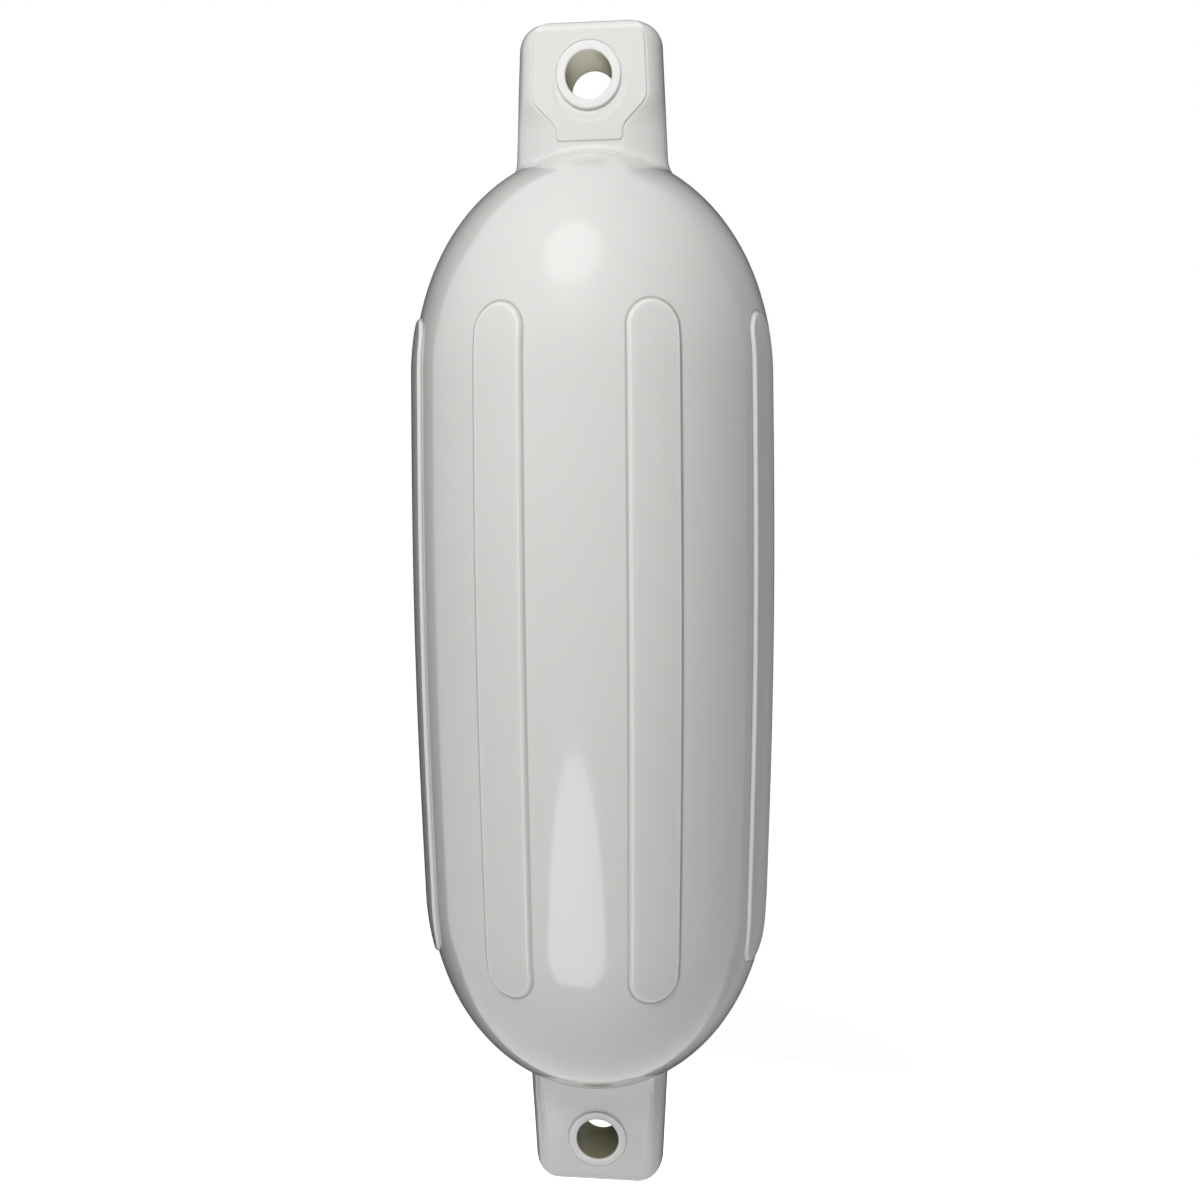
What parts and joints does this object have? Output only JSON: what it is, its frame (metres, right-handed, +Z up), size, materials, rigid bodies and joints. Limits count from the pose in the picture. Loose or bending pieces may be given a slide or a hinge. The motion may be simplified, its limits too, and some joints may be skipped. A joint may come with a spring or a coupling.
{
  "type": "boat fender",
  "caption": "White inflatable boat fender with raised ribs along its barrel, domed ends and a flat lug with a rope eye at each end.",
  "frame": {"origin": "centre of the upper rope eye, which the fender hangs by", "axes": "+Z up along the fender's length, -Y out of its front, +X to the right seen from the front; the eyes run along Y"},
  "size_m": [0.1708, 0.1708, 0.559],
  "materials": {
    "vinyl": "glossy moulded white vinyl",
    "valve_rubber": "matt grey rubber"
  },
  "bodies": {
    "root": {"fender_body": "vinyl", "inflation_valve": "valve_rubber"}
  },
  "joints": []
}
